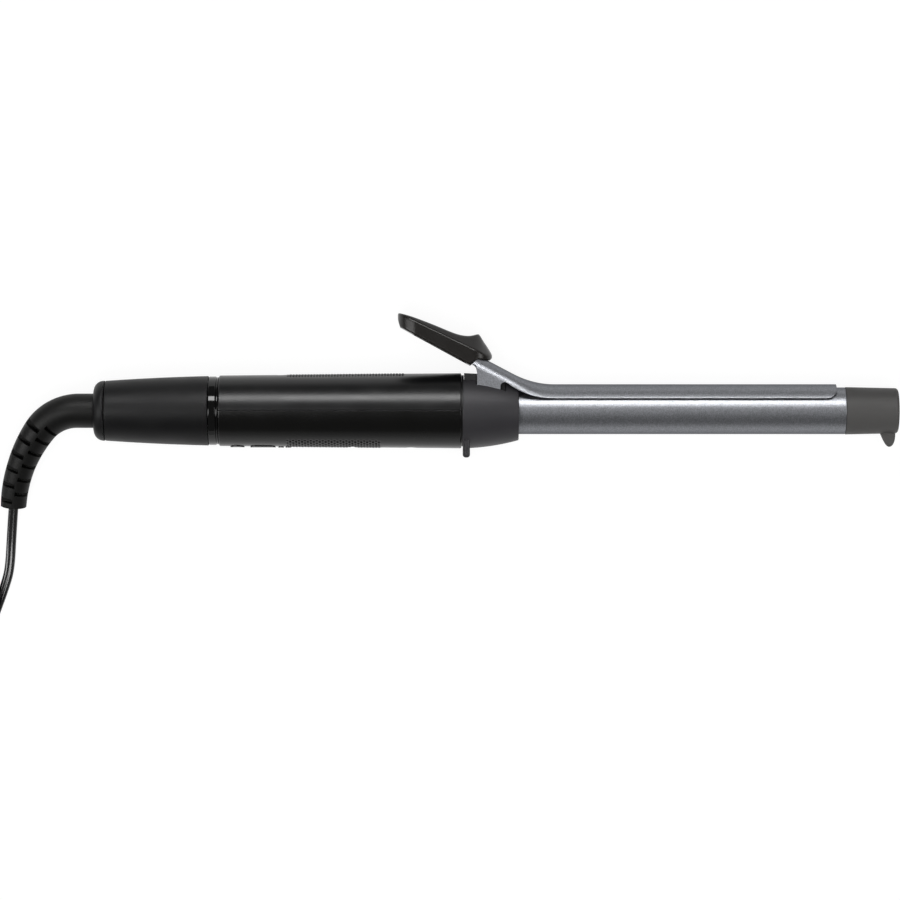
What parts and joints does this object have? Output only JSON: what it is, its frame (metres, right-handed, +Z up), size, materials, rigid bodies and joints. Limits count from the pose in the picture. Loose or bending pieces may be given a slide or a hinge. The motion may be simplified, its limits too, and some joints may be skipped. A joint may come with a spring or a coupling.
{
  "type": "curling iron",
  "caption": "Hair curling iron with a coated round barrel, a sprung clip on a thumb lever, a tapered handle with keys underneath, and a swivel cord with a slotted strain relief.",
  "frame": {"origin": "on the table, under the middle of the iron's box with the strain relief, without the cord and plug", "axes": "+X along the barrel from the cord end to the cool tip, +Y towards the thumb lever, +Z up from the table that the iron lies on"},
  "size_m": [0.4307, 0.1451, 0.0306],
  "materials": {
    "heater_coat": "metallic coat, satin",
    "collar_plastic": "fine matt grain",
    "lever_plastic": "satin",
    "handle_plastic": "semi-gloss",
    "sleeve_plastic": "matt",
    "ring_gloss": "high gloss",
    "lens_clear": "tinted, gloss",
    "sheet_steel": "zinc plated",
    "clamp_aluminium": "extruded",
    "heater_ceramic": "unglazed",
    "lead_sleeve": "glass-fibre sleeve",
    "fuse_case": "drawn can",
    "board_laminate": "laminate",
    "component_case": "moulded",
    "contact_brass": "turned and sheet",
    "flex_pvc": "soft, matt",
    "tie_tape": "woven tape",
    "pin_metal": "nickel plated"
  },
  "bodies": {
    "iron": {"barrel": "heater_coat", "cool_tip": "collar_plastic", "collar": "collar_plastic", "hinge_block": "sleeve_plastic", "hinge_pin": "sheet_steel", "clip_spring": "sheet_steel", "frame_screws": "sheet_steel", "lever_side_shell": "handle_plastic", "underside_shell": "handle_plastic", "shell_screws": "sheet_steel", "indicator_lenses": "lens_clear", "trim_ring": "ring_gloss", "rear_sleeve": "sleeve_plastic", "rear_cap": "sleeve_plastic", "heater_clamp_upper": "clamp_aluminium", "heater_clamp_lower": "clamp_aluminium", "heater_plate": "heater_ceramic", "heater_leads": "lead_sleeve", "thermistor": "heater_ceramic", "thermal_fuse": "fuse_case", "control_board": "board_laminate", "board_components": "component_case", "key_switches": "component_case", "supply_leads": "flex_pvc", "swivel_socket": "sleeve_plastic", "brush_contacts": "contact_brass"},
    "clip_arm": {"clip": "heater_coat", "hinge_bracket": "sheet_steel", "thumb_lever": "lever_plastic", "lever_rivets": "sheet_steel"},
    "power_button": {"power_key": "handle_plastic"},
    "rocker": {"heat_rocker": "handle_plastic"},
    "cord_end": {"swivel_rotor": "component_case", "slip_rings": "contact_brass", "strain_relief": "flex_pvc", "cord": "flex_pvc", "cord_coil": "flex_pvc", "cord_tail": "flex_pvc", "cord_tie": "tie_tape", "plug_body": "flex_pvc", "plug_pins": "pin_metal"}
  },
  "joints": [
    {"name": "clip_pivot", "type": "hinge", "parent": "iron", "child": "clip_arm", "pos_m": [0.01339, 0.0126, 0.0153], "axis": [0, 0, 1], "range_deg": [0, 22], "stiffness_Nm_per_rad": 0.3, "springref_deg": -28.65, "deforming": ["clip_spring"]},
    {"name": "cord_swivel", "type": "hinge", "parent": "iron", "child": "cord_end", "pos_m": [-0.14491, 0, 0.0153], "axis": [-1, 0, 0], "continuous": true},
    {"name": "power_press", "type": "slide", "parent": "iron", "child": "power_button", "axis": [0, 1, 0], "range_m": [0, 0.0006], "stiffness_N_per_m": 1500, "springref_m": -0.0005},
    {"name": "heat_rock", "type": "hinge", "parent": "iron", "child": "rocker", "pos_m": [-0.07611, -0.0116, 0.0153], "axis": [0, 0, 1], "range_deg": [-3, 3], "stiffness_Nm_per_rad": 0.05}
  ]
}
